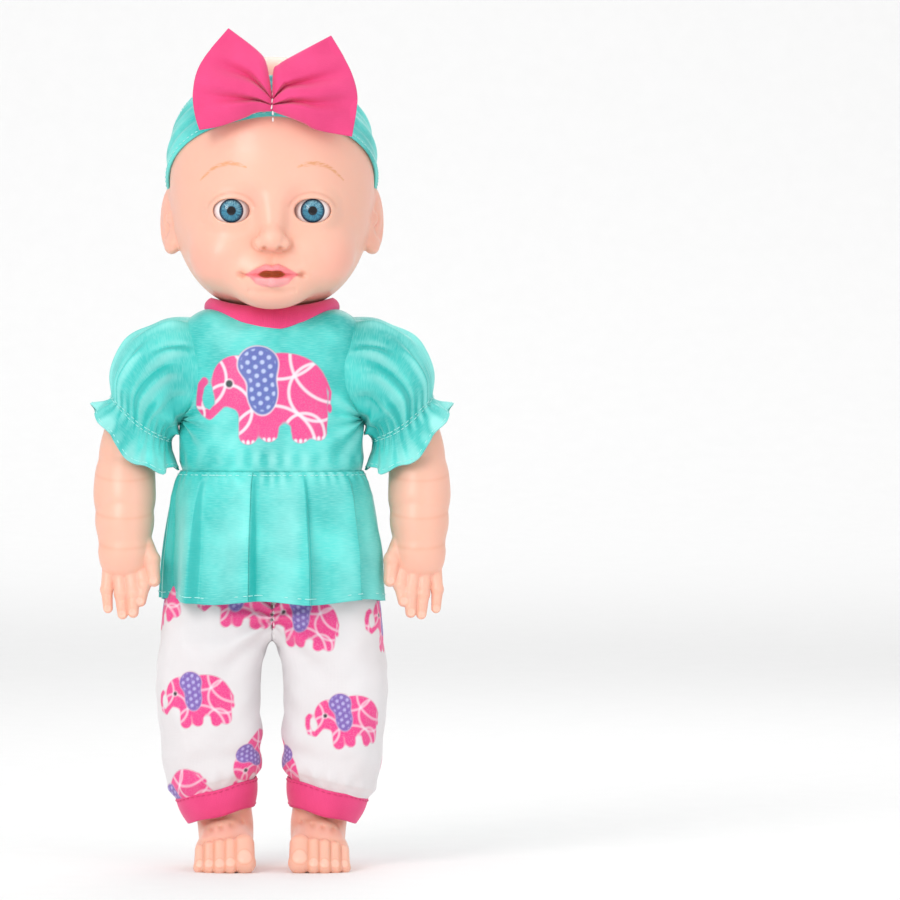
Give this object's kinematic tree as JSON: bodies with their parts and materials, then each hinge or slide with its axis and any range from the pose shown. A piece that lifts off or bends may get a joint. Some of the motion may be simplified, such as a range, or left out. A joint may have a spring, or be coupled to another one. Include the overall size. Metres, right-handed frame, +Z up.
{
  "type": "interactive baby doll",
  "caption": "Standing baby doll in a headband, peplum top and trousers, with turning head, swinging arms and legs, a press button on its tummy and a sound unit inside.",
  "frame": {"origin": "on the floor, at the centre of the doll's bounding box", "axes": "+Z up, +X towards the doll's left hand, the face looks along -Y"},
  "size_m": [0.1594, 0.1078, 0.3686],
  "materials": {
    "vinyl_skin": "soft vinyl with a slight gloss",
    "body_plastic": "moulded hard plastic, skin-coloured",
    "white_plastic": "moulded",
    "eye_acrylic": "polished, with a painted blue iris",
    "aqua_satin": "satin weave",
    "pink_cloth": "plain weave cotton",
    "pink_plastic": "moulded",
    "white_cloth": "brushed jersey with a printed animal motif",
    "steel": "plated",
    "battery_jacket": "plain jacket",
    "circuit_green": "solder mask",
    "black_plastic": "moulded",
    "red_wire": "insulation",
    "speaker_black": "pressed paper cone and frame"
  },
  "bodies": {
    "torso": {"torso_front_shell": "body_plastic", "torso_back_shell": "body_plastic", "neck_flange": "white_plastic", "battery_cover": "body_plastic", "battery_cover_screw": "steel", "battery_box": "black_plastic", "battery_contact_top": "steel", "battery_contact_bottom": "steel", "battery_spring_1": "steel", "battery_spring_2": "steel", "battery_spring_3": "steel", "battery_1": "battery_jacket", "battery_2": "battery_jacket", "battery_3": "battery_jacket", "speaker": "speaker_black", "circuit_board": "circuit_green", "sound_chip": "black_plastic", "button_switch": "black_plastic", "power_switch_body": "black_plastic", "speaker_wire_red": "red_wire", "speaker_wire_black": "black_plastic", "battery_wire_red": "red_wire", "battery_wire_black": "black_plastic", "shell_screw_1": "steel", "shell_screw_2": "steel", "shell_screw_3": "steel", "shell_screw_4": "steel", "top_bodice": "aqua_satin", "top_collar": "pink_cloth", "top_peplum_left": "aqua_satin", "top_peplum_right": "aqua_satin", "pants_seat": "white_cloth", "pants_waistband": "white_cloth"},
    "head": {"head_shell": "vinyl_skin", "eye_left": "eye_acrylic", "eye_right": "eye_acrylic", "eye_holder_left": "white_plastic", "eye_holder_right": "white_plastic", "headband": "aqua_satin", "bow": "pink_cloth"},
    "arm_left": {"arm_left": "vinyl_skin", "shoulder_plug_left": "white_plastic", "sleeve_left": "aqua_satin", "sleeve_ruffle_left": "aqua_satin"},
    "arm_right": {"arm_right": "vinyl_skin", "shoulder_plug_right": "white_plastic", "sleeve_right": "aqua_satin", "sleeve_ruffle_right": "aqua_satin"},
    "leg_left": {"leg_left": "vinyl_skin", "hip_plug_left": "white_plastic", "pants_leg_left": "white_cloth", "pants_cuff_left": "pink_cloth"},
    "leg_right": {"leg_right": "vinyl_skin", "hip_plug_right": "white_plastic", "pants_leg_right": "white_cloth", "pants_cuff_right": "pink_cloth"},
    "button": {"belly_button": "pink_plastic"},
    "switch": {"power_switch_knob": "white_plastic"}
  },
  "joints": [
    {"name": "head_turn", "type": "hinge", "parent": "torso", "child": "head", "pos_m": [0, 0.003, 0.2468], "axis": [0, 0, 1], "range_deg": [-65, 65]},
    {"name": "arm_left_swing", "type": "hinge", "parent": "torso", "child": "arm_left", "pos_m": [0.041, 0, 0.219], "axis": [-1, 0, 0], "range_deg": [-60, 120]},
    {"name": "arm_right_swing", "type": "hinge", "parent": "torso", "child": "arm_right", "pos_m": [-0.041, 0, 0.219], "axis": [-1, 0, 0], "range_deg": [-60, 120]},
    {"name": "leg_left_swing", "type": "hinge", "parent": "torso", "child": "leg_left", "pos_m": [0.018, 0, 0.116], "axis": [-1, 0, 0], "range_deg": [-20, 90], "deforming": ["top_peplum_left"]},
    {"name": "leg_right_swing", "type": "hinge", "parent": "torso", "child": "leg_right", "pos_m": [-0.018, 0, 0.116], "axis": [-1, 0, 0], "range_deg": [-20, 90], "deforming": ["top_peplum_right"]},
    {"name": "belly_button_press", "type": "slide", "parent": "torso", "child": "button", "axis": [0, 1, 0], "range_m": [0, 0.002], "stiffness_N_per_m": 400, "springref_m": -0.0005},
    {"name": "power_switch_slide", "type": "slide", "parent": "torso", "child": "switch", "axis": [1, 0, 0], "range_m": [0, 0.004]}
  ]
}
